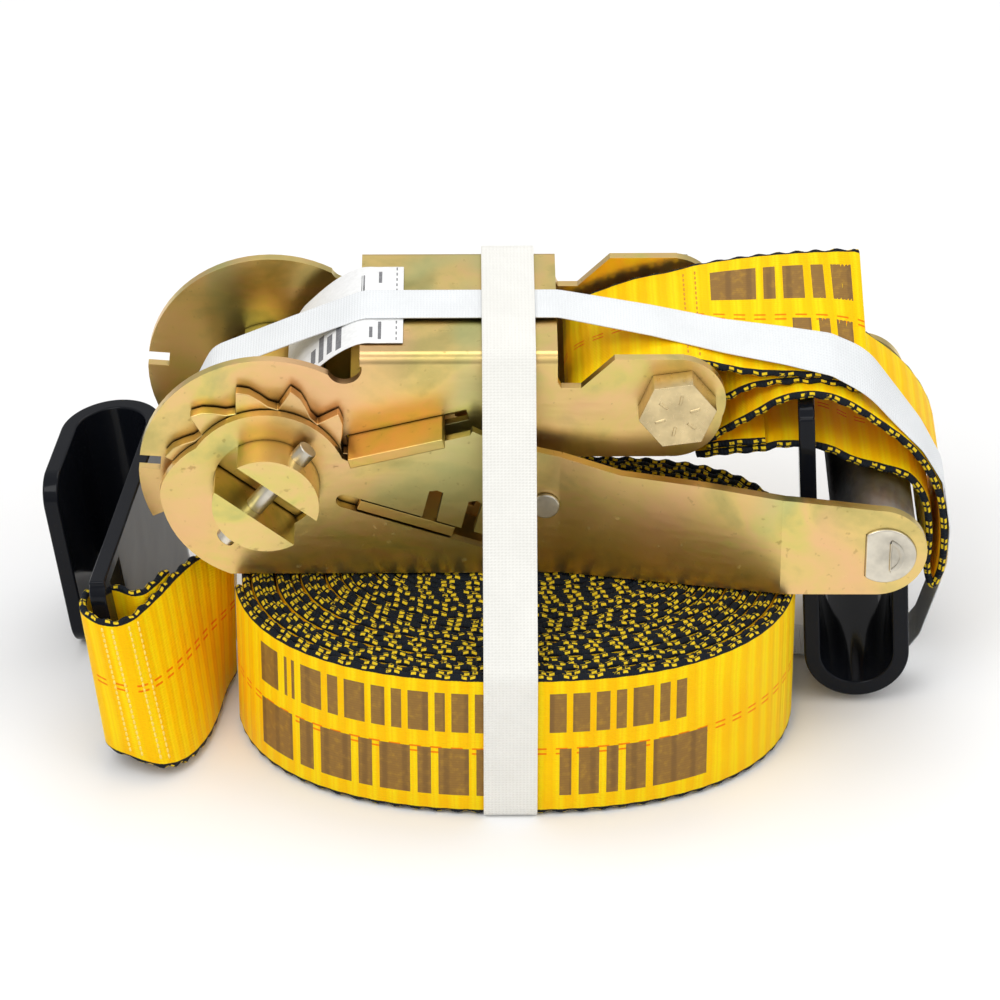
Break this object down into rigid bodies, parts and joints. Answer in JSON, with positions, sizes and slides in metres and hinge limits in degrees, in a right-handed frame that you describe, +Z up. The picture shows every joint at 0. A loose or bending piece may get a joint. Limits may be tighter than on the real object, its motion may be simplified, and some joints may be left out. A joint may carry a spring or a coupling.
{
  "type": "ratchet tie down",
  "caption": "Bundled ratchet tie down: coiled yellow webbing on edge, closed ratchet buckle on top, coated flat hooks on both ends and two white bands.",
  "frame": {"origin": "middle of the bundle's box, on the surface it stands on", "axes": "+X from the spool towards the handle's grip, +Y towards the ratchet's far side, +Z up"},
  "size_m": [0.277, 0.1471, 0.1322],
  "materials": {
    "webbing": "woven polyester",
    "band": "woven paper",
    "zinc": "yellow zinc chromate",
    "plain_steel": "bright zinc",
    "spring_steel": "drawn wire",
    "black_vinyl": "dipped vinyl",
    "tag_paper": "matte"
  },
  "bodies": {
    "root": {"webbing_coil": "webbing", "webbing_tail": "webbing", "handle_plate_near": "zinc", "handle_plate_far": "zinc", "handle_web": "zinc", "handle_spacer": "plain_steel", "handle_grip": "plain_steel", "grip_plugs": "plain_steel", "drive_pawl_spring": "spring_steel", "strap_loop": "webbing", "wide_band": "band", "long_band": "band"},
    "frame_arm": {"frame": "zinc", "frame_bolt": "plain_steel", "bolt_nut": "plain_steel", "bolt_sleeve": "plain_steel", "lock_pawl_spring": "spring_steel", "strap_eye": "webbing", "tag": "tag_paper"},
    "spool": {"spool_half_upper": "zinc", "spool_half_lower": "zinc", "ratchet_wheel_near": "zinc", "ratchet_wheel_far": "zinc", "spool_pins": "plain_steel"},
    "drive_pawl": {"drive_pawl": "zinc"},
    "lock_pawl": {"lock_pawl": "zinc"},
    "left_hook": {"left_hook": "black_vinyl"},
    "right_hook": {"right_hook": "black_vinyl"}
  },
  "joints": [
    {"name": "frame_swing", "type": "hinge", "parent": "root", "child": "frame_arm", "pos_m": [-0.0683, 0.0215, 0.083], "axis": [0, -1, 0], "range_deg": [0, 120], "deforming": ["wide_band", "long_band"]},
    {"name": "spool_turn", "type": "hinge", "parent": "frame_arm", "child": "spool", "pos_m": [-0.0683, 0.0215, 0.083], "axis": [0, 1, 0], "continuous": true},
    {"name": "lock_pawl_slide", "type": "slide", "parent": "frame_arm", "child": "lock_pawl", "axis": [0.9699, 0, 0.2436], "range_m": [0, 0.0068], "stiffness_N_per_m": 1500, "deforming": ["lock_pawl_spring"]},
    {"name": "drive_pawl_slide", "type": "slide", "parent": "root", "child": "drive_pawl", "axis": [0.9438, 0, -0.3305], "range_m": [-0.0045, 0.007], "stiffness_N_per_m": 1500, "deforming": ["drive_pawl_spring"]},
    {"name": "left_hook_swing", "type": "hinge", "parent": "root", "child": "left_hook", "pos_m": [-0.1141, -0.0395, 0.0336], "axis": [-0.1392, 0, 0.9903], "range_deg": [0, 15]},
    {"name": "right_hook_swing", "type": "hinge", "parent": "root", "child": "right_hook", "pos_m": [0.0939, 0.0165, 0.1012], "axis": [-0.0349, -0.9994, 0], "range_deg": [0, 3]}
  ]
}
